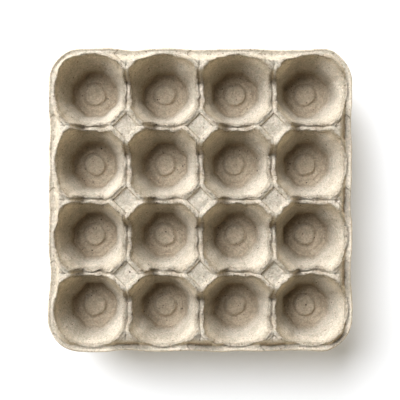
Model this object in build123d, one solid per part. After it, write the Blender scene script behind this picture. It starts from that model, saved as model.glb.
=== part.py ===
"""A short stack of moulded-pulp egg trays, nested one in the next.

Each tray is one thin sheet of pulp with rows of egg cups. A cup is a funnel, eight-sided low
down and round at its mouth. Between four cups stands a hollow post with a sunken diamond in
its top, and low saddles join the posts. Along the rim the half posts are one ridge, cut
through by the cups. The rim itself is a narrow flange with a small upturned lip.

Millimetres, +Z up. The origin is the middle of the stack's footprint, on the surface it stands on.
"""

from build123d import *
from math import atan, cos, degrees, radians, sin, sqrt, tan
import os

# Driving sizes of one tray
cups_per_side = 4
cup_pitch = 50.0
wall = 1.8  # thickness of the pulp, square to the sheet
cone_draft = 15.0  # degrees from upright, on the round part of a cup's wall
facet_draft = 16.5  # the same on its eight flats, which die out towards the mouth

floor_side = 12.5  # middle of the cup to a floor edge that faces along X or Y
floor_slant = 11.9  # middle of the cup to a floor edge that faces a post
bevel_run = 2.6  # the sloping band between floor and wall, across
bevel_rise = 3.0
foot_radius = 15.8  # the round part of the wall, where it starts above the bevel

button_radius = 8.2  # the round raised button in the floor
button_rise = 1.4
button_slope = 0.9  # how much narrower the button is at its top

post_height = 45.0
saddle_height = 29.0
flange_height = 36.0
saddle_depth = 3.0  # solid pulp in the crest of a saddle

post_tip = 12.5  # middle of a post to its flat tips, at the top
post_draft = 19.0  # the tips' slope down to the saddles
ridge_set_in = 5.0  # the ridge's outer face inside the line of half-post middles, at the top
ridge_draft = 23.0
ridge_corner = 8.5

diamond_reach = 9.1  # middle of the sunken diamond to its points
diamond_depth = 1.6
diamond_slope = 1.8  # how much nearer the points are at the bottom
diamond_rim = 1.6  # pulp left between a half diamond and the ridge's outer face

rim_reach = 3.4  # flange beyond the line of half-post middles
dip_depth = 0.8  # how far the rim is drawn in beside each half post
dip_length = 28.0
rim_corner = 21.5
lip_width = 1.4
lip_rise = 1.0

# Driving sizes of the stack
tray_names = ["bottom_tray", "middle_tray", "top_tray"]
nest_gap = 0.3  # free space between nested walls, square to them

# Worked out from them
least_draft = min(cone_draft, facet_draft, post_draft, ridge_draft)
nest_pitch = (wall + nest_gap) / sin(radians(least_draft))
grid_half = cups_per_side * cup_pitch / 2
rim_half = grid_half + rim_reach
bevel_draft = degrees(atan(bevel_run / bevel_rise))
roof_height = post_height - diamond_depth - wall  # underside of the posts' tops
above = 5.0  # how far a cutting form runs past what it cuts
cup_middles = [(i - (cups_per_side - 1) / 2) * cup_pitch for i in range(cups_per_side)]
node_middles = [(i - cups_per_side / 2) * cup_pitch for i in range(cups_per_side + 1)]
on_base = (Align.CENTER, Align.CENTER, Align.MIN)


def spread(draft, rise):
    """Run across of a face with that draft, over that rise."""
    return rise * tan(radians(draft))


def slab(half, bottom, top):
    """Square block with sides along X and Y."""
    return Pos(0, 0, bottom) * Box(2 * half, 2 * half, top - bottom, align=on_base)


def frustum(low_corners, bottom, high_corners, top):
    """Solid with flat sides between two polygons of as many corners."""
    low = [Vector(x, y, bottom) for x, y in low_corners]
    high = [Vector(x, y, top) for x, y in high_corners]
    faces = [Face(Wire.make_polygon(low)), Face(Wire.make_polygon(high))]
    for i in range(len(low)):
        j = (i + 1) % len(low)
        faces.append(Face(Wire.make_polygon([low[i], low[j], high[j], high[i]])))
    return Part() + Solid(Shell(faces))


def square(half):
    """Corners of a square with sides along X and Y."""
    return [(half, half), (-half, half), (-half, -half), (half, -half)]


def diamond(reach):
    """Corners of a square turned to point along X and Y."""
    return [(reach, 0), (0, reach), (-reach, 0), (0, -reach)]


def octagon(side, slant):
    """Corners of an octagon; side and slant are how far its two kinds of edges lie out."""
    short = slant * sqrt(2) - side
    corners = []
    for ux, uy in [(1, 0), (0, 1), (-1, 0), (0, -1)]:
        corners.append((side * ux + short * uy, side * uy - short * ux))
        corners.append((side * ux - short * uy, side * uy + short * ux))
    return corners


def cup(skin):
    """One cup's inside with skin 0, or its outside with skin the pulp's thickness."""
    top = post_height + above
    bottom = wall - skin

    def out(draft):
        """How far out of its place above the bevel a face with that draft is at the bottom."""
        return skin / cos(radians(draft)) - spread(draft, wall + bevel_rise - bottom)

    radius = foot_radius + out(cone_draft)
    mouth = radius + spread(cone_draft, top - bottom)
    form = Pos(0, 0, bottom) * Cone(radius, mouth, top - bottom, align=on_base)
    for draft in (facet_draft, bevel_draft):
        side = floor_side + bevel_run + out(draft)
        slant = floor_slant + bevel_run + out(draft)
        grown = spread(draft, top - bottom)
        form &= frustum(octagon(side, slant), bottom, octagon(side + grown, slant + grown), top)
    return form


def button(skin):
    """The raised button as a block: its top with skin 0, or the hollow below it."""
    radius = button_radius - skin / 2
    top = wall + button_rise - skin
    return Cone(radius, radius - button_slope, top, align=on_base)


def outline(inset, bottom, top):
    """The rim's outline as a block, drawn in a little beside each half post."""
    half = rim_half - inset
    face = fillet(Rectangle(2 * half, 2 * half).vertices(), rim_corner - inset)
    dip_radius = (dip_length**2 / 4 + dip_depth**2) / (2 * dip_depth)
    dip = Pos(rim_half - dip_depth + dip_radius, 0) * Circle(dip_radius + inset)
    for turn in range(4):
        for along in node_middles[1:-1]:
            face -= Rot(0, 0, 90 * turn) * Pos(0, along) * dip
    return Pos(0, 0, bottom) * extrude(face, top - bottom)


def ridge_block(skin, top):
    """Rounded square block with the half posts' outer faces as its sides."""
    bottom = flange_height - wall
    step = spread(ridge_draft, post_height - bottom) - skin / cos(radians(ridge_draft))
    reach = grid_half - ridge_set_in + step
    foot = fillet(Rectangle(2 * reach, 2 * reach).vertices(), ridge_corner + step)
    return Pos(0, 0, bottom) * extrude(foot, top - bottom, taper=ridge_draft)


def pit(skin):
    """Square pit between the half posts, down to the saddles, or its skin from below."""
    bottom = saddle_height - (saddle_depth if skin else 0)
    top = post_height + above
    half = grid_half - post_tip + skin / cos(radians(post_draft))
    low = half - spread(post_draft, post_height - bottom)
    return frustum(square(low), bottom, square(half + spread(post_draft, above)), top)


def post(skin, top):
    """One post as a square block with sloping tips, or the hollow inside it."""
    half = post_tip - skin / cos(radians(post_draft))
    low = half + spread(post_draft, post_height)
    return frustum(square(low), 0, square(half + spread(post_draft, post_height - top)), top)


def at_each(form, middles):
    """Copies of a form at each pair of these places along X and Y."""
    return [Pos(x, y) * form for x in middles for y in middles]


def sunken_diamonds():
    """The diamonds sunk into the posts, and what the ridge holds of them along the rim."""
    bottom = post_height - diamond_depth
    slope = diamond_slope / diamond_depth
    low = diamond(diamond_reach - diamond_slope)
    high = diamond(diamond_reach + slope * above)
    whole = frustum(low, bottom, high, post_height + above)
    limit = slab(grid_half - ridge_set_in - diamond_rim, 0, post_height + 2 * above)
    return [form & limit for form in at_each(whole, node_middles)]


def crest(skin):
    """The tray's crests as a block, before the cups; with skin, the space under the pulp."""
    top = roof_height if skin else post_height
    if skin:
        body = slab(rim_half + above, 0, flange_height - skin)
    else:
        body = outline(0, 0, flange_height)
    body += ridge_block(skin, top)
    body -= pit(skin)
    body += at_each(post(skin, top), node_middles[1:-1])
    return body


def lip():
    """The narrow upturned edge of the rim."""
    inside = outline(lip_width, flange_height - above, flange_height + above)
    return outline(0, flange_height, flange_height + lip_rise) - inside


def tray():
    """One egg tray, standing on its cups."""
    body = crest(0) + lip()
    body -= crest(wall) - at_each(cup(wall), cup_middles)
    body -= at_each(cup(0), cup_middles)
    body += at_each(button(0), cup_middles)
    body -= at_each(button(wall), cup_middles)
    body -= sunken_diamonds()
    return body


os.makedirs("parts", exist_ok=True)
one_tray = tray()
for level, name in enumerate(tray_names):
    placed = Pos(0, 0, level * nest_pitch) * one_tray
    export_step(placed, f"parts/{name}.step")
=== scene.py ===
# %% [markdown]
# # A short stack of moulded-pulp egg trays
#
# An egg tray is one thin sheet of paper pulp, sucked onto a mesh mould and dried. This lesson
# dresses a stack of three nested trays. Each tray is a single surface worked out with numpy: a
# height for every point of the plan, once for the upper skin and once for the lower one. The
# fibres, specks and the soft felt finish then come from one procedural material.

import bpy
import numpy as np
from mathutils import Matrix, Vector


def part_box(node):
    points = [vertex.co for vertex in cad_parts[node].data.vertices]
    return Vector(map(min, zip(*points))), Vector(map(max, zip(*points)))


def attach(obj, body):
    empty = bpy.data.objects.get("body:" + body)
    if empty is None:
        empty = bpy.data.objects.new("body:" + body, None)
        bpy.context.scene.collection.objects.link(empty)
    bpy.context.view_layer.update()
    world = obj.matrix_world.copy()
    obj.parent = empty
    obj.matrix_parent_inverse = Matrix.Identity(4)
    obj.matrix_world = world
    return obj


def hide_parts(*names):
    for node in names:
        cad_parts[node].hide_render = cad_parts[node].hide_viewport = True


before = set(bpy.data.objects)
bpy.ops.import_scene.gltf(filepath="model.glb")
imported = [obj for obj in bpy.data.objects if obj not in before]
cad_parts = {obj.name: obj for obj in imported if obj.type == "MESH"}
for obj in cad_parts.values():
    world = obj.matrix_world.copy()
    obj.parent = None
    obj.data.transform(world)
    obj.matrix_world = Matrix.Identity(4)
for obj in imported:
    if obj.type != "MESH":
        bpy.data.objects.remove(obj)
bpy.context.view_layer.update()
print("trays in the frame:", sorted(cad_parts))

# %% [markdown]
# ## The tray's driving sizes
#
# All lengths are metres. Drafts are angles from upright: moulded pulp needs them to leave its
# mould, and they also let the trays nest. The outer half width is read from the frame.

# %% Sizes of one tray
MM = 0.001
CUPS = 4
PITCH = 50 * MM
WALL = 1.8 * MM
GRID_HALF = CUPS * PITCH / 2

CONE_DRAFT = np.radians(15.0)
FACET_DRAFT = np.radians(16.5)
FLOOR_SIDE = 12.5 * MM
FLOOR_SLANT = 11.9 * MM
BEVEL_RUN = 2.6 * MM
BEVEL_RISE = 2.0 * MM
FOOT_RADIUS = 15.8 * MM
BUTTON_RADIUS = 7.6 * MM
BUTTON_RISE = 1.4 * MM
BUTTON_SLOPE = 0.9 * MM

POST_HEIGHT = 45 * MM
SADDLE_HEIGHT = 29 * MM
SADDLE_DEPTH = 3 * MM
FLANGE_HEIGHT = 36 * MM
POST_TIP = 12.5 * MM
POST_DRAFT = np.radians(19.0)
RIDGE_SET_IN = 5 * MM
RIDGE_DRAFT = np.radians(23.0)
RIDGE_CORNER = 8.5 * MM

DIAMOND_REACH = 9.1 * MM
DIAMOND_DEPTH = 1.6 * MM
DIAMOND_SLOPE = 1.0 * MM
DIAMOND_RIM = 1.6 * MM

RIM_CORNER = 21.5 * MM
DIP_DEPTH = 0.8 * MM
DIP_LENGTH = 28 * MM
LIP_WIDTH = 1.4 * MM
LIP_RISE = 0.6 * MM
EDGE_ROUND = 0.55 * MM

RIM_HALF = float(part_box("top_tray")[1][0])
BEVEL_TOP = WALL + BEVEL_RISE
BEVEL_DRAFT = np.arctan(BEVEL_RUN / BEVEL_RISE)
ROOF_HEIGHT = POST_HEIGHT - DIAMOND_DEPTH - WALL
LAST_CUP = GRID_HALF - PITCH / 2
print("half width of the rim:", round(RIM_HALF / MM, 2), "mm")

# %% [markdown]
# ## Soft corners and slow waves
#
# Pulp has no sharp edge anywhere, so two heights never meet in a crease here. A smooth minimum
# follows the lower of two heights and rounds the crossing over a stated depth. Unevenness comes
# from waves: a sum of sines with random directions, which is smooth and cheap. The last number
# given to waves is the seed of their random draws, so each run gives the same trays.

# %% Small functions of height and distance
def widest(x, y):
    """How far out a place lies, by squares around the middle: the larger of |x| and |y|."""
    return np.maximum(np.abs(x), np.abs(y))


def soft_min(a, b, depth):
    """The lower of a and b, and depth / 4 less at their crossing:
    min(a, b) - max(depth - |a - b|, 0)^2 / (4 depth)."""
    near = np.maximum(depth - np.abs(a - b), 0)
    return np.minimum(a, b) - near**2 / (4 * depth)


def soft_max(a, b, depth):
    """The higher of a and b, rounded at the crossing: minus the soft minimum of -a and -b."""
    return -soft_min(-a, -b, depth)


def soft_step(value, start, end):
    """0 before start and 1 after end, with 3t^2 - 2t^3 of the share t of the way between."""
    share = np.clip((value - start) / (end - start), 0, 1)
    return share * share * (3 - 2 * share)


def groove(distance, spread):
    """Profile of a pressed groove: 1 where distance is 0, less as exp(-(distance / spread)^2)."""
    return np.exp(-((distance / spread) ** 2))


# %% Slow waves in space
WAVE_COUNT = 28
SHORTEST, LONGEST = 0.75, 1.35


def waves(points, length, seed):
    """Smooth noise of about unit size: a sum of sines sin(k . p + phase), each with a random
    direction of k, a random phase, and a wavelength from SHORTEST to LONGEST times the length."""
    draw = np.random.default_rng(seed)
    ways = draw.normal(size=(WAVE_COUNT, 3))
    ways /= np.linalg.norm(ways, axis=1, keepdims=True)
    ways *= (2 * np.pi / (length * draw.uniform(SHORTEST, LONGEST, WAVE_COUNT)))[:, None]
    phase = draw.uniform(0, 2 * np.pi, WAVE_COUNT)
    return np.sin(points @ ways.T + phase).sum(axis=1) * np.sqrt(2 / WAVE_COUNT)


def flat_waves(x, y, length, seed):
    """The same waves over the plan, where every point of an upright line has one value."""
    return waves(np.stack([x, y, np.zeros_like(x)], axis=-1), length, seed)


# %% [markdown]
# ## One cup
#
# The egg cup is a funnel. Its floor is an octagon with a raised round button, its wall is eight
# flats whose corners a cone rounds off, and a narrow bevel joins the two. The mould also presses
# three grooves into the upper skin: a ring around the button, a moat at the foot of the wall and a
# fold along the floor's edge. Each is pressed unevenly, so it fades and comes back.

# %% Grooves of a cup
RING_OUT = 0.9 * MM
RING_SPREAD = 0.8 * MM
RING_DEPTH = 0.55 * MM
MOAT_IN = 0.5 * MM
MOAT_SPREAD = 0.85 * MM
MOAT_DEPTH = 1.2 * MM
MOAT_WANDER = 0.35 * MM
FOLD_SPREAD = 0.6 * MM
FOLD_DEPTH = 0.55 * MM
FOLD_WANDER = 0.3 * MM
FAINTEST = 0.3


def beyond_octagon(u, v):
    """Distance outside the octagon at the foot of the wall: the farthest of its eight edges."""
    flat = widest(u, v) - (FLOOR_SIDE + BEVEL_RUN)
    slant = (np.abs(u) + np.abs(v)) / np.sqrt(2) - (FLOOR_SLANT + BEVEL_RUN)
    return np.maximum(flat, slant)


def patchy(x, y, length, seed):
    """A share from FAINTEST to 1 that comes and goes in waves, for marks pressed unevenly."""
    return FAINTEST + (1 - FAINTEST) * soft_step(flat_waves(x, y, length, seed), -1.0, 0.8)


def ring_mark(x, y, centre):
    """The broken ring around the button, 1 in its middle where it is whole."""
    radius = np.hypot(x - centre[0], y - centre[1])
    return groove(radius - BUTTON_RADIUS - RING_OUT, RING_SPREAD) * patchy(x, y, 14 * MM, 51)


def moat_mark(x, y, centre):
    """The moat at the foot of the wall, 1 in its middle where it is whole."""
    wander = MOAT_WANDER * flat_waves(x, y, 8 * MM, 53)
    beyond = beyond_octagon(x - centre[0], y - centre[1]) + wander
    return groove(beyond + MOAT_IN, MOAT_SPREAD) * patchy(x, y, 17 * MM, 52)


def fold_mark(x, y, centre):
    """The faint fold along the edge of the floor, where the bevel begins."""
    wander = FOLD_WANDER * flat_waves(x, y, 7 * MM, 55)
    beyond = beyond_octagon(x - centre[0], y - centre[1]) + wander
    return groove(beyond + BEVEL_RUN, FOLD_SPREAD) * patchy(x, y, 12 * MM, 54)


# %% Height of a cup
FACET_ROUND = 4 * MM
BEVEL_ROUND = 0.4 * MM
FOOT_ROUND = 1.5 * MM


def cup_height(u, v, skin):
    """Height of the funnel at u, v from the cup's middle. Each face rises as the cotangent of its
    draft times the distance beyond its foot. The cup is the highest of floor, bevel, flats and
    cone, with the crossings rounded."""
    radius = np.hypot(u, v)
    eight = beyond_octagon(u, v)

    def rise(distance, draft):
        """Height of a face of that draft, at a distance beyond its place above the bevel."""
        return BEVEL_TOP + (distance - skin / np.cos(draft)) / np.tan(draft)

    edge = BUTTON_RADIUS - skin / 2
    floor = WALL - skin + BUTTON_RISE * (1 - soft_step(radius, edge - BUTTON_SLOPE, edge))
    cone = rise(radius - FOOT_RADIUS, CONE_DRAFT)
    walls = soft_max(rise(eight, FACET_DRAFT), cone, FACET_ROUND)
    return soft_max(soft_max(floor, rise(eight, BEVEL_DRAFT), BEVEL_ROUND), walls, FOOT_ROUND)


# %% [markdown]
# ## The crests between the cups
#
# Along the rim the half posts form one ridge. Inside it a pit goes down to the saddles, and square
# posts with sloping tips stand in the pit wherever four cups meet. The cups cut through all of it,
# so only narrow crests are left.

# %% Distances on the plan
def from_line(place):
    """Signed distance to the nearest line of post middles."""
    return (place + GRID_HALF + PITCH / 2) % PITCH - PITCH / 2


def along_side(x, y):
    """The place along the tray's nearest side."""
    return np.where(np.abs(x) > np.abs(y), y, x)


def beyond_square(x, y, half, corner):
    """Signed distance outside a square with rounded corners, less than zero inside it."""
    out_x = np.abs(x) - (half - corner)
    out_y = np.abs(y) - (half - corner)
    outside = np.hypot(np.maximum(out_x, 0), np.maximum(out_y, 0))
    return outside + np.minimum(np.maximum(out_x, out_y), 0) - corner


def beyond_ridge(x, y):
    """Signed distance outside the upper edge of the ridge of half posts."""
    return beyond_square(x, y, GRID_HALF - RIDGE_SET_IN, RIDGE_CORNER)


def rim_dip(along):
    """How far the rim is drawn in beside a half post, by the place along the side: an arc of
    DIP_LENGTH and DIP_DEPTH, taken as its parabola."""
    dip = DIP_DEPTH * np.maximum(1 - (from_line(along) / (DIP_LENGTH / 2)) ** 2, 0)
    return np.where(np.abs(along) < LAST_CUP, dip, 0)


def inside_rim(x, y):
    """Distance in from the rim's outline."""
    return -beyond_square(x, y, RIM_HALF, RIM_CORNER) - rim_dip(along_side(x, y))


# %% Height of a post's tip
TIP_ROUND = 2 * MM


def tip_height(across, skin):
    """Height along a post's tip, by the distance from the post's middle: an S-curve from its top
    to the saddle, with straight slopes before and after it."""
    top = ROOF_HEIGHT if skin else POST_HEIGHT
    low = SADDLE_HEIGHT - (SADDLE_DEPTH if skin else 0)
    start = POST_TIP - skin / np.cos(POST_DRAFT) - TIP_ROUND
    end = start + (POST_HEIGHT - SADDLE_HEIGHT) * np.tan(POST_DRAFT) + 2 * TIP_ROUND
    beyond = np.maximum(start - across, 0) - np.maximum(across - end, 0)
    return top - (top - low) * soft_step(across, start, end) + beyond / np.tan(POST_DRAFT)


# %% Height of the crests
TOP_ROUND = 1.4 * MM
FLANGE_ROUND = 0.8 * MM
SADDLE_ROUND = 1 * MM


def crest_height(x, y, skin):
    """Height of the crests. The ridge is the lower of its sloping face and its top. The crests are
    the higher of ridge and flange, then the lower of that and the pit, then the higher of that and
    the posts."""
    top = np.full_like(x, ROOF_HEIGHT if skin else POST_HEIGHT)
    outer = beyond_ridge(x, y) + skin / np.cos(RIDGE_DRAFT)
    ridge = soft_min(POST_HEIGHT - outer / np.tan(RIDGE_DRAFT), top, TOP_ROUND)
    body = soft_max(ridge, np.full_like(x, FLANGE_HEIGHT - skin), FLANGE_ROUND)

    saddle = SADDLE_HEIGHT - (SADDLE_DEPTH if skin else 0)
    pit = np.maximum(tip_height(GRID_HALF - widest(x, y), skin), saddle)
    body = soft_min(body, pit, TOP_ROUND)

    post = soft_min(tip_height(widest(from_line(x), from_line(y)), skin), top, TOP_ROUND)
    post = np.where(widest(x, y) < LAST_CUP, post, 0)
    return soft_max(body, post, SADDLE_ROUND)


# %% [markdown]
# ## Marks pressed into the crests
#
# The upper skin carries finer forms: a diamond sunk into every post, a torn seam along each saddle
# where two cups were drawn apart, a crease at the foot of the ridge and the upturned lip of the
# rim. A dimple at each end of a saddle goes through both skins. Each mark is a mask from 0 to 1,
# and most are used twice: as relief here and later as painted shade, a darker colour in the groove.

# %% Marks of the crests
SEAM_DEPTH = 0.5 * MM
SEAM_SPREAD = 0.38 * MM
SEAM_WANDER = 0.45 * MM
FAINT_SEAM = 0.4
DIMPLE_PLACE = POST_TIP + 5.5 * MM
DIMPLE_LENGTH = 3.2 * MM
DIMPLE_WIDTH = 3.6 * MM
DIMPLE_DEPTH = 3.0 * MM
RIDGE_RUN = (POST_HEIGHT - FLANGE_HEIGHT) * np.tan(RIDGE_DRAFT)
RIDGE_CREASE_OUT = 0.2 * MM
RIDGE_CREASE_SPREAD = 0.7 * MM
RIDGE_CREASE_DEPTH = 0.9 * MM


def seam_mark(x, y):
    """The torn seam on a saddle: a groove along the line between two posts that wanders by slow
    waves and breaks off where faster waves are low. Saddles that run along Y have a fainter one."""
    off_x = np.abs(from_line(x) - SEAM_WANDER * flat_waves(x * 0, y, 11 * MM, 61))
    off_y = np.abs(from_line(y) - SEAM_WANDER * flat_waves(x, y * 0, 11 * MM, 62))
    a, b = np.abs(from_line(x)), np.abs(from_line(y))
    beside = soft_step(np.maximum(a, b), POST_TIP + 0.5 * MM, POST_TIP + 3 * MM)
    whole = soft_step(0.4 + flat_waves(x, y, 5 * MM, 63), 0.0, 0.6)
    within = soft_step(GRID_HALF - POST_TIP - widest(x, y), 1 * MM, 3 * MM)
    faint = np.where(a < b, FAINT_SEAM, 1.0)
    return groove(np.where(a < b, off_x, off_y), SEAM_SPREAD) * beside * whole * within * faint


def dimple_mark(x, y):
    """The dimple at each end of a saddle, at the foot of the post: an oval groove on the line."""
    a, b = np.abs(from_line(x)), np.abs(from_line(y))
    along, off = np.maximum(a, b), np.minimum(a, b)
    within = soft_step(GRID_HALF - POST_TIP - widest(x, y), -3 * MM, -1 * MM)
    return groove(along - DIMPLE_PLACE, DIMPLE_LENGTH) * groove(off, DIMPLE_WIDTH) * within


def diamond_mark(x, y):
    """The sunken diamond, 1 on its bottom: |x| + |y| from the post's middle is under its reach."""
    reach = DIAMOND_REACH - np.abs(from_line(x)) - np.abs(from_line(y))
    limit = soft_step(GRID_HALF - RIDGE_SET_IN - DIAMOND_RIM - widest(x, y), 0, 0.8 * MM)
    return soft_step(reach, 0, DIAMOND_SLOPE) * limit


def ridge_crease_mark(x, y):
    """The pressed groove where a half post's outer face meets the flange."""
    along = np.abs(from_line(along_side(x, y)))
    beyond = beyond_ridge(x, y) - RIDGE_RUN - RIDGE_CREASE_OUT
    return groove(beyond, RIDGE_CREASE_SPREAD) * (1 - soft_step(along, 7 * MM, 10 * MM))


def lip_height(x, y):
    """The rim's lip: a step up near the edge, whose outer side is rolled down by a quarter
    circle."""
    edge = inside_rim(x, y)
    step = LIP_RISE * (1 - soft_step(edge, LIP_WIDTH - 0.35 * MM, LIP_WIDTH + 0.15 * MM))
    in_roll = np.maximum(EDGE_ROUND - edge, 0)
    roll = EDGE_ROUND - np.sqrt(np.maximum(EDGE_ROUND**2 - in_roll**2, 0))
    return step - roll


# %% One skin of the sheet
CREST_ROUND = 2.6 * MM
LOWER_CREST_ROUND = 2 * MM
FLARE = 2.4 * MM
FLARE_REACH = 6 * MM
POST_FLARE = -0.8 * MM
ABOVE_ALL = 1.0  # metres, in place of a cup beyond the rim


def flared(cup, crest):
    """The cup with its wall leaning out near a low crest: the wall is lowered by FLARE where it
    meets the crest, less and less over FLARE_REACH below it. Beside a high post it leans in a
    little."""
    high_crest = soft_step(crest, SADDLE_HEIGHT + 3 * MM, POST_HEIGHT - 4 * MM)
    lean = FLARE + (POST_FLARE - FLARE) * high_crest
    return cup - lean * groove(np.maximum(crest - cup, 0), FLARE_REACH)


def skin_height(x, y, centre, skin):
    """Height of one skin at x, y, in the cell of the cup at centre: the soft minimum of the crests,
    the cell's own cup and the cups beside it, so that neighbouring cells meet without a crease."""
    plain_crest = crest_height(x, y, skin)
    crest = plain_crest - DIMPLE_DEPTH * dimple_mark(x, y)
    if skin == 0:
        crest = crest + lip_height(x, y)
        crest = crest - DIAMOND_DEPTH * diamond_mark(x, y) - SEAM_DEPTH * seam_mark(x, y)
        crest = crest - RIDGE_CREASE_DEPTH * ridge_crease_mark(x, y)
    u, v = x - centre[0], y - centre[1]
    cup = flared(cup_height(u, v, skin), plain_crest)
    if skin == 0:
        cup = cup - RING_DEPTH * ring_mark(x, y, centre)
        cup = cup - MOAT_DEPTH * moat_mark(x, y, centre)
        cup = cup - FOLD_DEPTH * fold_mark(x, y, centre)
    over_x = flared(cup_height(PITCH - np.abs(u), v, skin), plain_crest)
    over_y = flared(cup_height(u, PITCH - np.abs(v), skin), plain_crest)
    beside_x = np.where(np.abs(centre[0] + np.sign(u) * PITCH) < GRID_HALF, over_x, ABOVE_ALL)
    beside_y = np.where(np.abs(centre[1] + np.sign(v) * PITCH) < GRID_HALF, over_y, ABOVE_ALL)
    depth = LOWER_CREST_ROUND if skin else CREST_ROUND
    return soft_min(crest, soft_min(soft_min(cup, beside_x, depth), beside_y, depth), depth)


# %% [markdown]
# ## A net that follows the form
#
# A square grid would cut the cups' steep walls and round crests into stairs. So each cup has a net
# of its own: rays run from its middle to the border of its cell, and rings cross them at the
# button, the floor's edge, the foot of the wall and the crest. Neighbouring nets share the points
# of their common border, so the merged sheet has no gap.

# %% The border of a cup's cell
SIDE_POINTS = 30
RAYS = 4 * SIDE_POINTS
CROWDING = 1.5
RIM_TOLERANCE = 0.1 * MM


def cell_border(centre):
    """Points around a cell, SIDE_POINTS to a side and closer together near its corners, and which
    of them lie on the rim. Inner sides lie halfway to the next cup, outer ones on the rim, and the
    tray's corner is pulled onto its arc."""
    step = np.linspace(-1, 1, SIDE_POINTS + 1)[:-1]
    step = np.sign(step) * (1 - (1 - np.abs(step)) ** CROWDING)
    one = np.ones(SIDE_POINTS)
    share_x = np.concatenate([one, -step, -one, step])
    share_y = np.concatenate([step, one, -step, -one])

    def place(share, middle, dip):
        """Position along one axis, with a share of -1 or 1 at the cell's two sides."""
        low = -RIM_HALF + dip if middle < -LAST_CUP + PITCH / 4 else middle - PITCH / 2
        high = RIM_HALF - dip if middle > LAST_CUP - PITCH / 4 else middle + PITCH / 2
        return low + (share + 1) / 2 * (high - low)

    plain_x = place(share_x, centre[0], 0)
    plain_y = place(share_y, centre[1], 0)
    x = place(share_x, centre[0], rim_dip(plain_y))
    y = place(share_y, centre[1], rim_dip(plain_x))
    bend = RIM_HALF - RIM_CORNER
    from_x = np.abs(x) - bend
    from_y = np.abs(y) - bend
    in_corner = (from_x > 0) & (from_y > 0)
    pull = np.where(in_corner, RIM_CORNER / np.maximum(np.hypot(from_x, from_y), MM), 1)
    x = np.where(in_corner, np.sign(x) * (bend + from_x * pull), x)
    y = np.where(in_corner, np.sign(y) * (bend + from_y * pull), y)
    on_rim = (np.abs(share_x) == 1) & (np.abs(plain_x) > RIM_HALF - RIM_TOLERANCE)
    on_rim |= (np.abs(share_y) == 1) & (np.abs(plain_y) > RIM_HALF - RIM_TOLERANCE)
    return np.stack([x, y], axis=1), on_rim


# %% Where each ray leaves its cup
MOUTH_SAMPLES = 240


def mouth_radius(centre, direction, reach, skin):
    """Where each ray leaves the cup: the first place where the funnel is higher than the crest."""
    share = np.linspace(0, 1, MOUTH_SAMPLES)
    radius = FOOT_RADIUS + share[:, None] * (reach - FOOT_RADIUS)
    u = radius * direction[:, 0]
    v = radius * direction[:, 1]
    gap = cup_height(u, v, skin) - crest_height(u + centre[0], v + centre[1], skin)
    first = np.argmax(gap > 0, axis=0)
    rays = np.arange(len(reach))
    before, after = gap[first - 1, rays], gap[first, rays]
    part = -before / (after - before)
    return radius[first - 1, rays] + part * (radius[first, rays] - radius[first - 1, rays])


# %% Rings of a cup's net
UPPER_NET = {
    "button": [0.4, 0.75],
    "from_button": [-BUTTON_SLOPE, -BUTTON_SLOPE / 2, 0, RING_OUT, 2 * RING_OUT],
    "from_foot": [-BEVEL_RUN, -0.65 * BEVEL_RUN, -1.0 * MM, -0.45 * MM, 0, 0.4 * MM],
    "wall": [0.12, 0.26, 0.4, 0.54, 0.68, 0.81, 0.92],
    "from_mouth": [step * MM for step in (-0.5, 0.0, 0.4, 0.9, 1.5, 2.15, 2.75, 3.4)],
    "halfway": [0.33, 0.67],
    "from_border": [step * MM for step in (2.4, 1.75, 1.3, 0.9, 0.5, 0.2, 0.0)],
}
LOWER_NET = {
    "button": [0.5],
    "from_button": [-BUTTON_SLOPE, 0],
    "from_foot": [-BEVEL_RUN, 0],
    "wall": [0.3, 0.6, 0.85],
    "from_mouth": [0.0, 1.2 * MM],
    "halfway": [],
    "from_border": [1.4 * MM, 0.0],
}


def octagon_ring(direction, out, skin):
    """Radius of the octagon at the foot of the wall, moved out by a distance, along each ray."""
    out = out + skin / np.cos(FACET_DRAFT)
    straight = np.abs(direction).max(axis=1)
    slanted = np.abs(direction).sum(axis=1) / np.sqrt(2)
    side = (FLOOR_SIDE + BEVEL_RUN + out) / straight
    slant = (FLOOR_SLANT + BEVEL_RUN + out) / slanted
    return np.minimum(np.minimum(side, slant), FOOT_RADIUS + skin + np.maximum(out, 0))


def cell_net(centre, skin):
    """Points of one cup's net as rings of RAYS points, from the ring nearest the middle to the
    border. Near the mouth and near the border the rings keep their distances, and they shrink
    where space is short."""
    net = LOWER_NET if skin else UPPER_NET
    border, on_rim = cell_border(centre)
    arm = border - centre
    reach = np.hypot(arm[:, 0], arm[:, 1])
    direction = arm / reach[:, None]
    one = np.ones(RAYS)

    edge = BUTTON_RADIUS - skin / 2
    rings = [one * (edge - BUTTON_SLOPE) * share for share in net["button"]]
    rings += [one * (edge + step) for step in net["from_button"]]
    feet = [octagon_ring(direction, out, skin) for out in net["from_foot"]]
    if skin == 0:
        rings.append((rings[-1] + feet[0]) / 2)
    rings += feet

    mouth = mouth_radius(centre, direction, reach, skin)
    span = reach - mouth
    stretch = 1 / np.abs(direction).max(axis=1)
    near_mouth = np.minimum(1, 0.5 * span / net["from_mouth"][-1])
    near_border = np.minimum(stretch, 0.5 * span / net["from_border"][0])
    starts = [mouth + step * near_mouth for step in net["from_mouth"]]
    ends = [reach - step * near_border for step in net["from_border"]]
    rings += [feet[-1] + share * (starts[0] - feet[-1]) for share in net["wall"]]
    rings += starts
    rings += [starts[-1] + share * (ends[0] - starts[-1]) for share in net["halfway"]]
    rings += ends
    xy = centre + np.stack(rings)[:, :, None] * direction
    xy[-1] = border
    return xy, on_rim
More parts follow.
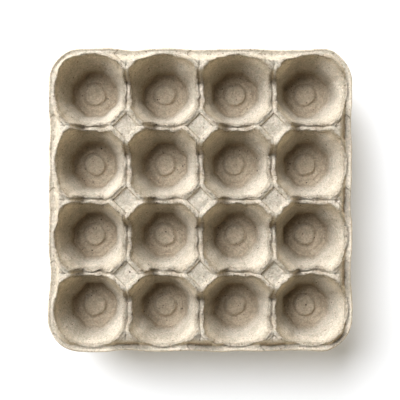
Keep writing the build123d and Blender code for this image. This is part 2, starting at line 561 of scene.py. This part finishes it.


# %% [markdown]
# ## The whole sheet
#
# The two skins of every cell are joined along the rim by a rounded edge, so each tray is one closed
# mesh. Points of neighbouring cells that lie on their common border are merged by their place on
# the plan. Each point also keeps two tones: how much painted shade it gets, in its grooves and on
# the sides that face away from the light, and how torn the pulp is there.

# %% Faces, and the way out over the rim
CUP_MIDDLES = (np.arange(CUPS) - (CUPS - 1) / 2) * PITCH
EDGE_BULGE = 0.3 * MM


def outward(x, y):
    """Unit vectors away from the tray, square to its outline, by differences over a tenth of a
    millimetre."""
    step = 0.05 * MM
    slope_x = inside_rim(x - step, y) - inside_rim(x + step, y)
    slope_y = inside_rim(x, y - step) - inside_rim(x, y + step)
    slope = np.stack([slope_x, slope_y], axis=1)
    return slope / np.maximum(np.linalg.norm(slope, axis=1, keepdims=True), 1e-9)


def ring_faces(start, rings):
    """Quads between neighbouring rings whose points are numbered in order from start."""
    ring = np.arange(rings - 1)[:, None] * RAYS
    ray = np.arange(RAYS)[None, :]
    after = (ray + 1) % RAYS
    quads = [ring + ray, ring + RAYS + ray, ring + RAYS + after, ring + after]
    return start + np.stack(quads, axis=-1).reshape(-1, 4)


def fan_faces(start):
    """Triangles from the point at start to the ring that follows it."""
    ray = np.arange(RAYS)
    return np.stack([np.full(RAYS, start), start + 1 + ray, start + 1 + (ray + 1) % RAYS], axis=1)


# %% Two tones of each point: painted shade and torn pulp
# How dark the painted shade is in each groove, in the dimples and at the foot of the wall.
RING_SHADE = 0.5
MOAT_SHADE = 0.8
FOOT_SHADE = 0.7
FOLD_SHADE = 0.5
SEAM_SHADE = 0.5
DIMPLE_SHADE = 0.65
FOOT_SHADE_IN = 1.8 * MM
FOOT_SHADE_SPREAD = 3 * MM
TORN_BELOW = 3.5 * MM
TORN_ABOVE = 5 * MM


def painted_shade_tone(x, y, centre):
    """Painted shade on the upper skin, from 0 to 1: the strongest of its marks, a darker colour
    where shade gathers in a groove. As in the photo, the foot of the wall is painted darkest
    towards the upper left, where the light does not reach it, and the half posts' outer faces are
    painted dark along the right and lower rims, which face away from the light."""
    u, v = x - centre[0], y - centre[1]
    # Painted shade by direction: near 1 on the cup's upper-left side, which the light does not
    # reach, and 0.1 on its lower right.
    side = 0.55 - 0.45 * (u - v) / (np.sqrt(2) * np.maximum(np.hypot(u, v), MM))
    foot = side * groove(beyond_octagon(u, v) + FOOT_SHADE_IN, FOOT_SHADE_SPREAD)
    moat = (0.2 + 0.8 * side) * moat_mark(x, y, centre)
    along = np.abs(from_line(along_side(x, y)))
    # Painted shade on the half posts' outer faces, kept to the right and lower rims, which face
    # away from the light.
    slope = groove(beyond_ridge(x, y) - 0.75 * RIDGE_RUN, 0.32 * RIDGE_RUN)
    slope = slope * (1 - soft_step(along, 8 * MM, 9 * MM)) * soft_step(x - y, 0, PITCH)
    # Painted shade in the ring, moat, fold, seam and dimples, where shade would gather.
    return np.clip(np.maximum.reduce([
        RING_SHADE * ring_mark(x, y, centre),
        MOAT_SHADE * moat,
        FOOT_SHADE * foot,
        FOLD_SHADE * fold_mark(x, y, centre),
        SEAM_SHADE * seam_mark(x, y),
        DIMPLE_SHADE * dimple_mark(x, y),
        slope,
    ]), 0, 1)


def torn_tone(x, y, centre):
    """How torn the upper skin is, from 0 to 1: most where the cup's mouth meets the crest."""
    crest = crest_height(x, y, 0)
    gap = crest - flared(cup_height(x - centre[0], y - centre[1], 0), crest)
    return groove(np.maximum(gap, 0), TORN_BELOW) * groove(np.maximum(-gap, 0), TORN_ABOVE)


# %% Both skins of all cells
MERGE_STEP = 0.01 * MM


def sheet():
    """Points of one tray, with the skin, painted shade tone and torn tone of each, and its faces as
    quads and triangles."""
    points, skins, painted_shade_tones, torn, quads, triangles = [], [], [], [], [], []
    count = 0
    for centre in [np.array([across, along]) for across in CUP_MIDDLES for along in CUP_MIDDLES]:
        outlines = []
        for skin in (0.0, WALL):
            xy, on_rim = cell_net(centre, skin)
            flat = np.concatenate([centre[None], xy.reshape(-1, 2)])
            x, y = flat[:, 0], flat[:, 1]
            plain = np.zeros(len(flat))
            points.append(np.column_stack([flat, skin_height(x, y, centre, skin)]))
            skins.append(np.full(len(flat), skin))
            painted_shade_tones.append(plain if skin else painted_shade_tone(x, y, centre))
            torn.append(plain if skin else torn_tone(x, y, centre))
            net, fan = ring_faces(count + 1, len(xy)), fan_faces(count)
            quads.append(net[:, ::-1] if skin else net)
            triangles.append(fan[:, ::-1] if skin else fan)
            outlines.append(count + 1 + (len(xy) - 1) * RAYS + np.arange(RAYS))
            count += len(flat)

        upper, lower = points[-2][-RAYS:], points[-1][-RAYS:]
        middle = (upper + lower) / 2
        middle[:, :2] += EDGE_BULGE * outward(middle[:, 0], middle[:, 1])
        points.append(middle)
        skins.append(np.full(RAYS, WALL / 2))
        painted_shade_tones.append(np.zeros(RAYS))
        torn.append(np.zeros(RAYS))
        rows = [outlines[0], count + np.arange(RAYS), outlines[1]]
        count += RAYS
        both_on_rim = on_rim & np.roll(on_rim, -1)
        for high, low in zip(rows, rows[1:]):
            edge = np.stack([high, low, np.roll(low, -1), np.roll(high, -1)], axis=1)
            quads.append(edge[both_on_rim])
    return [np.concatenate(part) for part in (points, skins, painted_shade_tones, torn, quads, triangles)]


def merge(points, skins, painted_shade_tones, torn, quads, triangles):
    """Joins points of one skin that share a place on the plan, to MERGE_STEP, and leaves out points
    that no face uses."""
    key = np.round(np.column_stack([points[:, :2], skins]) / MERGE_STEP).astype(np.int64)
    _, first, number = np.unique(key, axis=0, return_index=True, return_inverse=True)
    number = number.ravel()
    quads, triangles = number[quads], number[triangles]
    used = np.unique(np.concatenate([quads.ravel(), triangles.ravel()]))
    place = np.zeros(len(first), dtype=np.int64)
    place[used] = np.arange(len(used))
    kept = first[used]
    return points[kept], painted_shade_tones[kept], torn[kept], place[quads], place[triangles]


# %% One plain tray
POINTS, PAINTED_SHADE_TONES, TORN, QUADS, TRIANGLES = merge(*sheet())
print("one tray:", len(POINTS), "points,", 2 * len(QUADS) + len(TRIANGLES), "triangles")

# %% [markdown]
# ## Unevenness of real pulp
#
# No crest of a pulp tray is straight: the wet sheet shrinks as it dries, and the edges pull into
# small waves. Every point is moved by waves of several lengths, so crests wander, walls swell and
# the saddles look slightly torn. Both skins move together, which keeps the wall's thickness, and
# the feet stay flat. The free rim of each tray has slow waves of its own.

# %% Move the points
FOOT_ZONE = 2 * MM, 14 * MM
CREST_ZONE = 18 * MM, 30 * MM
TOP_ZONE = 33 * MM, 42 * MM
RIM_ZONE = 2 * MM, 9 * MM


def uneven(points, torn, seed):
    """Points moved along each axis by waves, from slow to fine. Each row of the list is a size in
    millimetres and its waves: the two finest act mostly where the pulp is torn, and the last one
    moves the rim alone."""
    moved = points.copy()
    x, y, z = points.T
    above_foot = soft_step(z, *FOOT_ZONE)
    high = soft_step(z, *CREST_ZONE)
    near_rim = 1 - soft_step(inside_rim(x, y), *RIM_ZONE)
    for axis in range(3):
        upright = axis == 2
        held = above_foot if upright else 1
        free = held * (1 - 0.8 * near_rim)
        for size, wave in [
            (held * (0.20 if upright else 0.30), waves(points, 30 * MM, 10 + axis)),
            (free * (0.14 + 0.04 * high), waves(points, 9 * MM, 20 + axis)),
            (free * (0.03 + 0.14 * torn), waves(points, 3.6 * MM, 30 + axis)),
            (free * 0.14 * torn, waves(points, 2.2 * MM, 70 + axis)),
            (near_rim * (0.35 if upright else 0.2), flat_waves(x, y, 45 * MM, seed + axis)),
        ]:
            moved[:, axis] += size * MM * wave
    return moved


# %% Build a mesh
FOOT_FLAT = 0.2 * MM


def add_tone(mesh, name, values):
    """Stores one number per point as an attribute that the material can read."""
    tone = mesh.attributes.new(name, "FLOAT", "POINT")
    tone.data.foreach_set("value", values.astype(np.float32))


def tray_mesh(name, lift, seed):
    """A mesh of one uneven tray that stands at the height lift, with its four tones: how much
    painted shade each point gets in grooves and on shaded sides, how torn it is, how far down in a
    cup it lies, for painted shade at the cups' bottoms, and how high on a crest, for painted shade
    on the crest tops."""
    points = uneven(POINTS, TORN, seed)
    points[:, 2] = soft_max(points[:, 2], 0.0, FOOT_FLAT) + lift
    mesh = bpy.data.meshes.new(name)
    mesh.from_pydata(points, [], [*QUADS.tolist(), *TRIANGLES.tolist()])
    mesh.polygons.foreach_set("use_smooth", np.ones(len(mesh.polygons), dtype=bool))
    # Painted shade of the grooves and of the sides that face away from the light, one value per
    # point.
    add_tone(mesh, "painted_shade", PAINTED_SHADE_TONES)
    add_tone(mesh, "torn", TORN)
    # Painted shade: 1 up to 2 mm above the foot, fading to 0 at 14 mm, where the cups' colour is
    # darker and warmer.
    add_tone(mesh, "depth_shade", 1 - soft_step(POINTS[:, 2], *FOOT_ZONE))
    # Painted shade: 0 below 33 mm, 1 above 42 mm, where the crest tops are greyed as if less light
    # fell on them.
    add_tone(mesh, "high", soft_step(POINTS[:, 2], *TOP_ZONE))
    mesh.update()
    return mesh


# %% [markdown]
# ## The pulp
#
# Recycled pulp is a beige grey, mottled in soft clouds, with short pale and dark fibres and a few
# dark specks of old print. Its surface is matt and grainy. One material makes all of that from
# Object coordinates, so the pattern stays put from every side, and from the mesh's four tones.

# %% Small helpers for node trees
MIX_INPUTS = 0, 6, 7  # a colour mix's sockets for its factor and its two colours
MIX_OUTPUT = 2


def add(tree, kind, place, **values):
    """A node of that kind at that place, with its plain settings and its sockets' values."""
    node = tree.nodes.new(kind)
    node.location = place
    for name, value in values.items():
        if name in node.inputs:
            node.inputs[name].default_value = value
        else:
            setattr(node, name, value)
    return node


def group(name, inputs, outputs):
    """A new shader node group with those named sockets, and its input and output nodes."""
    tree = bpy.data.node_groups.new(name, "ShaderNodeTree")
    for title, kind in inputs:
        tree.interface.new_socket(title, in_out="INPUT", socket_type=kind)
    for title, kind in outputs:
        tree.interface.new_socket(title, in_out="OUTPUT", socket_type=kind)
    return tree, add(tree, "NodeGroupInput", (-1200, 0)), add(tree, "NodeGroupOutput", (900, 0))


def ramp(tree, place, value, low, high, first, last):
    """The colour of a ramp that goes from first, where the value is low, to last, where high."""
    node = add(tree, "ShaderNodeValToRGB", place)
    for element, position, colour in zip(node.color_ramp.elements, (low, high), (first, last)):
        element.position = position
        element.color = colour
    tree.links.new(value, node.inputs["Fac"])
    return node.outputs["Color"]


def mix(tree, place, factor, first, second, blend="MIX"):
    """A colour mix of two sockets or colours by a factor socket or number."""
    node = add(tree, "ShaderNodeMix", place, data_type="RGBA", blend_type=blend)
    for slot, value in zip(MIX_INPUTS, (factor, first, second)):
        if isinstance(value, bpy.types.NodeSocket):
            tree.links.new(value, node.inputs[slot])
        else:
            node.inputs[slot].default_value = value
    return node.outputs[MIX_OUTPUT]


# %% [markdown]
# ### Fibres, specks and diamonds as groups
#
# A fibre is a stretch of noise drawn out along one direction. The group turns the coordinates,
# squeezes them along one axis and keeps only the highest values, so short hairs are left. Specks
# are cells of a Voronoi pattern, of which only the nearest surroundings of some seeds are kept.
# The diamonds repeat the mesh's own ones with an edge that is finer than its points.

# %% Fibres
HAIR_BEND = 0.004
HAIR_SQUEEZE = 0.12
HAIR_LEVEL = 0.80
HAIR_SHARPNESS = 9.0


def fibre_group():
    """Short hairs in one direction: Turn aims them, Amount says how many there are."""
    tree, given, put = group(
        "pulp_fibres",
        [
            ("Vector", "NodeSocketVector"),
            ("Turn", "NodeSocketVector"),
            ("Amount", "NodeSocketFloat"),
        ],
        [("Mask", "NodeSocketFloat")],
    )
    turn = add(tree, "ShaderNodeVectorRotate", (-1000, 0), rotation_type="EULER_XYZ")
    bend = add(tree, "ShaderNodeTexNoise", (-1000, -300), Scale=160.0, Detail=1.0)
    shift = add(tree, "ShaderNodeVectorMath", (-800, -300), operation="MULTIPLY_ADD")
    shift.inputs[1].default_value = (HAIR_BEND, HAIR_BEND, HAIR_BEND)
    squeeze = add(tree, "ShaderNodeVectorMath", (-600, 0), operation="MULTIPLY")
    squeeze.inputs[1].default_value = (HAIR_SQUEEZE, 1.0, 1.0)
    hairs = add(tree, "ShaderNodeTexNoise", (-400, 0), Scale=1500.0, Detail=1.5, Roughness=0.4)
    less = add(tree, "ShaderNodeMath", (-200, -200), operation="SUBTRACT")
    less.inputs[0].default_value = HAIR_LEVEL
    cut = add(tree, "ShaderNodeMath", (0, 0), operation="SUBTRACT")
    sharpen = add(tree, "ShaderNodeMath", (200, 0), operation="MULTIPLY", use_clamp=True)
    sharpen.inputs[1].default_value = HAIR_SHARPNESS
    link = tree.links.new
    link(given.outputs["Vector"], turn.inputs["Vector"])
    link(given.outputs["Turn"], turn.inputs["Rotation"])
    link(given.outputs["Vector"], bend.inputs["Vector"])
    link(bend.outputs["Color"], shift.inputs[0])
    link(turn.outputs["Vector"], shift.inputs[2])
    link(shift.outputs["Vector"], squeeze.inputs[0])
    link(squeeze.outputs["Vector"], hairs.inputs["Vector"])
    link(given.outputs["Amount"], less.inputs[1])
    link(hairs.outputs["Fac"], cut.inputs[0])
    link(less.outputs["Value"], cut.inputs[1])
    link(cut.outputs["Value"], sharpen.inputs[0])
    link(sharpen.outputs["Value"], put.inputs["Mask"])
    return tree


# %% Specks
SPECK_RARITY = 1.6
SPECK_SHARPNESS = 40.0


def speck_group():
    """Small flecks: Scale sets how close together they may lie, Size how large the largest is."""
    tree, given, put = group(
        "pulp_specks",
        [
            ("Vector", "NodeSocketVector"),
            ("Scale", "NodeSocketFloat"),
            ("Size", "NodeSocketFloat"),
        ],
        [("Mask", "NodeSocketFloat")],
    )
    cells = add(tree, "ShaderNodeTexVoronoi", (-800, 0), Randomness=1.0)
    chance = add(tree, "ShaderNodeSeparateColor", (-600, -200))
    rare = add(tree, "ShaderNodeMath", (-400, -200), operation="POWER")
    rare.inputs[1].default_value = SPECK_RARITY
    size = add(tree, "ShaderNodeMath", (-200, -200), operation="MULTIPLY")
    gap = add(tree, "ShaderNodeMath", (0, 0), operation="SUBTRACT")
    fleck = add(tree, "ShaderNodeMath", (200, 0), operation="MULTIPLY", use_clamp=True)
    fleck.inputs[1].default_value = SPECK_SHARPNESS
    link = tree.links.new
    link(given.outputs["Vector"], cells.inputs["Vector"])
    link(given.outputs["Scale"], cells.inputs["Scale"])
    link(cells.outputs["Color"], chance.inputs["Color"])
    link(chance.outputs["Red"], rare.inputs[0])
    link(rare.outputs["Value"], size.inputs[0])
    link(given.outputs["Size"], size.inputs[1])
    link(size.outputs["Value"], gap.inputs[0])
    link(cells.outputs["Distance"], gap.inputs[1])
    link(gap.outputs["Value"], fleck.inputs[0])
    link(fleck.outputs["Value"], put.inputs["Mask"])
    return tree


# %% Diamonds
def diamond_group():
    """The sunken diamonds with a crisp edge: 1 where |x| + |y| from the nearest post is under
    their reach."""
    tree, given, put = group(
        "post_diamonds", [("Vector", "NodeSocketVector")], [("Mask", "NodeSocketFloat")]
    )
    parts = add(tree, "ShaderNodeSeparateXYZ", (-800, 0))
    from_x = add(tree, "ShaderNodeMath", (-600, 100), operation="PINGPONG")
    from_y = add(tree, "ShaderNodeMath", (-600, -100), operation="PINGPONG")
    from_x.inputs[1].default_value = from_y.inputs[1].default_value = PITCH / 2
    both = add(tree, "ShaderNodeMath", (-400, 0), operation="ADD")
    edge = add(tree, "ShaderNodeMapRange", (-200, 0), interpolation_type="SMOOTHSTEP")
    edge.inputs["From Min"].default_value = DIAMOND_REACH + 0.2 * MM
    edge.inputs["From Max"].default_value = DIAMOND_REACH - 0.7 * MM
    link = tree.links.new
    link(given.outputs["Vector"], parts.inputs["Vector"])
    link(parts.outputs["X"], from_x.inputs[0])
    link(parts.outputs["Y"], from_y.inputs[0])
    link(from_x.outputs["Value"], both.inputs[0])
    link(from_y.outputs["Value"], both.inputs[1])
    link(both.outputs["Value"], edge.inputs["Value"])
    link(edge.outputs["Result"], put.inputs["Mask"])
    return tree


FIBRES = fibre_group()
SPECKS = speck_group()
DIAMONDS = diamond_group()


# %% [markdown]
# ### The material
#
# The colour is built in layers: clouds, blotches, grain, fibres and specks. Then the mesh's tones
# add painted shade: they warm and darken the depth of the cups, grey the high crests, and darken
# the grooves and the sides that face away from the light. They also darken what is torn. The bump
# has streaks that run down the steep walls, a felt grain, crumbs where the pulp is torn, the edges
# of the diamonds and some fibres, so the surface never looks like plastic.

# %% The pulp material
WHITE = (1, 1, 1, 1)
PALE = (0.575, 0.515, 0.41, 1)
DULL = (0.465, 0.41, 0.315, 1)
BLOTCH_TINTS = (0.88, 0.90, 0.88, 1), (1.08, 1.04, 1.03, 1)
GRAIN_TINTS = (0.71, 0.70, 0.68, 1), (1.24, 1.24, 1.23, 1)
PALE_HAIRS = (0.62, 0.58, 0.51, 1)
MORE_HAIRS = (0.58, 0.53, 0.46, 1)
DARK_HAIRS = (0.24, 0.19, 0.14, 1)
DUST = (0.27, 0.22, 0.165, 1)
FLECKS = (0.085, 0.062, 0.045, 1)
# Painted shade at the bottoms of the cups: darker and warmer.
DEPTH_SHADE_TINT = (0.86, 0.80, 0.73, 1)
# Painted shade on the crest tops: a little greyer and darker, as if less light fell on them.
CREST_TOP_SHADE_TINT = (0.86, 0.865, 0.87, 1)
TORN_TINTS = (0.64, 0.60, 0.54, 1), (1.10, 1.10, 1.10, 1)
# Painted shade in the grooves and on the sides that face away from the light.
PAINTED_SHADE_TINT = (0.44, 0.38, 0.31, 1)
STREAK_STRETCH = 0.22


def pulp_material(name):
    """Matt mottled pulp with fibres, specks and a grainy bump."""
    material = bpy.data.materials.new(name)
    material.use_nodes = True
    tree = material.node_tree
    tree.nodes.clear()
    link = tree.links.new
    output = add(tree, "ShaderNodeOutputMaterial", (1600, 0))
    shader = add(tree, "ShaderNodeBsdfPrincipled", (1300, 0), Roughness=0.93)
    shader.inputs["Specular IOR Level"].default_value = 0.25
    link(shader.outputs["BSDF"], output.inputs["Surface"])
    place = add(tree, "ShaderNodeTexCoord", (-1600, 0)).outputs["Object"]

    def noise(spot, vector, **values):
        """The value of a noise texture with those settings."""
        node = add(tree, "ShaderNodeTexNoise", spot, **values)
        link(vector, node.inputs["Vector"])
        return node.outputs["Fac"]

    def layer(tree_used, spot, **values):
        """The mask of one of the groups with those settings."""
        node = add(tree, "ShaderNodeGroup", spot, node_tree=tree_used)
        for title, value in values.items():
            node.inputs[title].default_value = value
        link(place, node.inputs["Vector"])
        return node.outputs["Mask"]

    def tone(spot, title):
        """The value of one of the mesh's tones."""
        return add(tree, "ShaderNodeAttribute", spot, attribute_name=title).outputs["Fac"]

    def product(spot, first, second):
        """The product of a value and another value or number."""
        node = add(tree, "ShaderNodeMath", spot, operation="MULTIPLY")
        link(first, node.inputs[0])
        if isinstance(second, bpy.types.NodeSocket):
            link(second, node.inputs[1])
        else:
            node.inputs[1].default_value = second
        return node.outputs["Value"]

    clouds = noise((-1300, 600), place, Scale=60.0, Detail=5.0, Roughness=0.6)
    colour = ramp(tree, (-1050, 600), clouds, 0.34, 0.68, DULL, PALE)
    blotches = noise((-1300, 400), place, Scale=330.0, Detail=3.0, Roughness=0.6)
    tint = ramp(tree, (-1050, 400), blotches, 0.36, 0.66, *BLOTCH_TINTS)
    colour = mix(tree, (-750, 500), 1.0, colour, tint, "MULTIPLY")
    grain = noise((-1300, 250), place, Scale=850.0, Detail=5.0, Roughness=0.7)
    tint = ramp(tree, (-1050, 250), grain, 0.34, 0.66, *GRAIN_TINTS)
    colour = mix(tree, (-650, 400), 1.0, colour, tint, "MULTIPLY")

    pale_hairs = layer(FIBRES, (-1300, 150), Turn=(0.3, 0.5, 0.9), Amount=0.12)
    more_hairs = layer(FIBRES, (-1300, 0), Turn=(1.2, 0.2, 2.4), Amount=0.12)
    dark_hairs = layer(FIBRES, (-1300, -150), Turn=(0.8, 1.1, 0.2), Amount=0.10)
    flecks = layer(SPECKS, (-1300, -300), Scale=170.0, Size=0.135)
    dust = layer(SPECKS, (-1300, -450), Scale=380.0, Size=0.26)
    colour = mix(tree, (-550, 400), pale_hairs, colour, PALE_HAIRS)
    colour = mix(tree, (-400, 400), more_hairs, colour, MORE_HAIRS)
    colour = mix(tree, (-250, 400), dark_hairs, colour, DARK_HAIRS)
    colour = mix(tree, (-100, 400), dust, colour, DUST)
    colour = mix(tree, (50, 400), flecks, colour, FLECKS)

    crumbs = noise((-1300, -1250), place, Scale=430.0, Detail=5.0, Roughness=0.7)
    crumbled = ramp(tree, (-1050, -1250), crumbs, 0.38, 0.50, *TORN_TINTS)
    # Painted shade from the mesh's tones: darker at the cups' bottoms, on the crest tops, in the
    # grooves and on the shaded sides. The torn tone adds darker and lighter crumbs.
    tints = [("depth_shade", DEPTH_SHADE_TINT), ("high", CREST_TOP_SHADE_TINT), ("torn", crumbled), ("painted_shade", PAINTED_SHADE_TINT)]
    for number, (title, tint) in enumerate(tints):
        spot = 200 * number
        tinted = mix(tree, (spot - 100, 150), tone((spot - 300, 100), title), WHITE, tint)
        colour = mix(tree, (spot + 100, 300), 1.0, colour, tinted, "MULTIPLY")
    link(colour, shader.inputs["Base Color"])

    drawn = add(tree, "ShaderNodeMapping", (-1300, -700))
    drawn.inputs["Scale"].default_value = (1.0, 1.0, STREAK_STRETCH)
    link(place, drawn.inputs["Vector"])
    streaks = noise((-1050, -700), drawn.outputs["Vector"], Scale=430.0, Detail=3.0, Roughness=0.6)
    torn_crumbs = product((-100, -700), tone((-300, -700), "torn"), crumbs)
    sunken = product((-100, -950), layer(DIAMONDS, (-1300, -950)), -1.0)
    reliefs = [
        (streaks, 0.85, 1.0 * MM),
        (grain, 0.9, 0.8 * MM),
        (torn_crumbs, 1.0, 3.4 * MM),
        (sunken, 1.0, 0.7 * MM),
        (pale_hairs, 0.4, 0.12 * MM),
    ]
    normal = None
    for number, (height, strength, distance) in enumerate(reliefs):
        spot = (600 + 150 * number, -500)
        bump = add(tree, "ShaderNodeBump", spot, Strength=strength, Distance=distance)
        link(height, bump.inputs["Height"])
        if normal:
            link(normal, bump.inputs["Normal"])
        normal = bump.outputs["Normal"]
    link(normal, shader.inputs["Normal"])
    return material


PULP = pulp_material("moulded_pulp")

# %% [markdown]
# ## Placing the trays
#
# Each tray stands where the frame's tray of that name stands, so the lift is read from its box.
# All three share one plain form, and each has its own seed for the waves of its rim.

# %% The three trays
FIRST_SEED = 40
SEED_STEP = 10


def foot_height(node):
    """Height of the underside of a node's box."""
    return float(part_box(node)[0][2])


for order, node in enumerate(sorted(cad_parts, key=foot_height)):
    lift = foot_height(node)
    mesh = tray_mesh(f"{node}_pulp", lift, FIRST_SEED + SEED_STEP * order)
    tray = bpy.data.objects.new(f"{node}_pulp", mesh)
    bpy.context.scene.collection.objects.link(tray)
    tray.data.materials.append(PULP)
    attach(tray, "root")
    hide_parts(node)
    print(node, "at", round(lift / MM, 2), "mm")

# %% [markdown]
# ## Floor, light and camera
#
# The stack stands on a pale studio floor and is seen from straight above. One very large soft light
# comes from the upper left, halfway up the sky, and shades the cups' upper-left walls. A pale band
# along the horizon fills the shadows from the sides, which keeps the cups' bottoms dark. The floor
# glows a little, so the stack's shadow stays light and neutral.

# %% Floor
FLOOR_HALF = 3.0
PAPER = (0.765, 0.765, 0.735, 1)
PAPER_ROUGHNESS = 0.9
GLOW = (0.90, 0.98, 1.06, 1)
GLOW_STRENGTH = 0.165
floor_mesh = bpy.data.meshes.new("floor")
corners = [(-1, -1), (1, -1), (1, 1), (-1, 1)]
floor_points = [(x * FLOOR_HALF, y * FLOOR_HALF, 0) for x, y in corners]
floor_mesh.from_pydata(floor_points, [], [(0, 1, 2, 3)])
floor = bpy.data.objects.new("floor", floor_mesh)
bpy.context.scene.collection.objects.link(floor)
paper = bpy.data.materials.new("paper_floor")
paper.use_nodes = True
paper_shader = paper.node_tree.nodes["Principled BSDF"]
paper_shader.inputs["Base Color"].default_value = PAPER
paper_shader.inputs["Roughness"].default_value = PAPER_ROUGHNESS
paper_shader.inputs["Emission Color"].default_value = GLOW
paper_shader.inputs["Emission Strength"].default_value = GLOW_STRENGTH
floor_mesh.materials.append(paper)

# %% Key light
KEY_ZENITH = np.radians(45)
KEY_AZIMUTH = np.radians(130)
KEY_DISTANCE = 2.2
KEY_HALF_ANGLE = np.radians(30)
KEY_WATTS = 143.0
KEY_COLOUR = (1.0, 1.03, 1.13)
from_stack = Vector((
    np.sin(KEY_ZENITH) * np.cos(KEY_AZIMUTH),
    np.sin(KEY_ZENITH) * np.sin(KEY_AZIMUTH),
    np.cos(KEY_ZENITH),
))
key_data = bpy.data.lights.new("key_light", "AREA")
key_data.shape = "DISK"
key_data.size = 2 * KEY_DISTANCE * np.tan(KEY_HALF_ANGLE)
key_data.energy = KEY_WATTS
key_data.color = KEY_COLOUR
key = bpy.data.objects.new("key_light", key_data)
key.location = from_stack * KEY_DISTANCE
key.rotation_euler = from_stack.to_track_quat("Z", "Y").to_euler()
key.visible_camera = False
bpy.context.scene.collection.objects.link(key)

# %% Pale horizon
HORIZON_STRENGTH = 2.7
HORIZON_FADE = 0.15
HORIZON_TOP = 0.5
HORIZON_COLOUR = (1.0, 0.84, 0.60, 1)
world = bpy.data.worlds.new("studio")
bpy.context.scene.world = world
world.use_nodes = True
sky = world.node_tree
upward = add(sky, "ShaderNodeSeparateXYZ", (-600, 0))
way = add(sky, "ShaderNodeTexCoord", (-800, 0))
sky.links.new(way.outputs["Generated"], upward.inputs["Vector"])
band = add(sky, "ShaderNodeMapRange", (-400, 0), interpolation_type="SMOOTHSTEP")
band.inputs["From Min"].default_value = HORIZON_FADE
band.inputs["From Max"].default_value = HORIZON_TOP
band.inputs["To Min"].default_value = HORIZON_STRENGTH
band.inputs["To Max"].default_value = 0.0
sky.links.new(upward.outputs["Z"], band.inputs["Value"])
sky.links.new(band.outputs["Result"], sky.nodes["Background"].inputs["Strength"])
sky.nodes["Background"].inputs["Color"].default_value = HORIZON_COLOUR

# %% [markdown]
# ### The camera
#
# The lens comes from the photo's scale: at the height of the posts' tops its width shows as many
# millimetres as its pixels divided by the posts' pitch in pixels, times the pitch in millimetres.

# %% Camera
PHOTO_PIXELS = 400
POST_PITCH_PIXELS = 74.0
CAMERA_ABOVE_POSTS = 0.71
SENSOR = 36.0
stack_top = float(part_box("top_tray")[1][2])
seen_width = PHOTO_PIXELS / POST_PITCH_PIXELS * PITCH
camera_data = bpy.data.cameras.new("camera")
camera_data.sensor_width = SENSOR
camera_data.lens = SENSOR * CAMERA_ABOVE_POSTS / seen_width
camera = bpy.data.objects.new("camera", camera_data)
camera.location = (0, 0, stack_top + CAMERA_ABOVE_POSTS)
bpy.context.scene.collection.objects.link(camera)
bpy.context.scene.camera = camera
bpy.context.scene.view_settings.view_transform = "Standard"
print("lens:", round(camera_data.lens, 1), "mm, seen width:", round(seen_width, 3), "m")
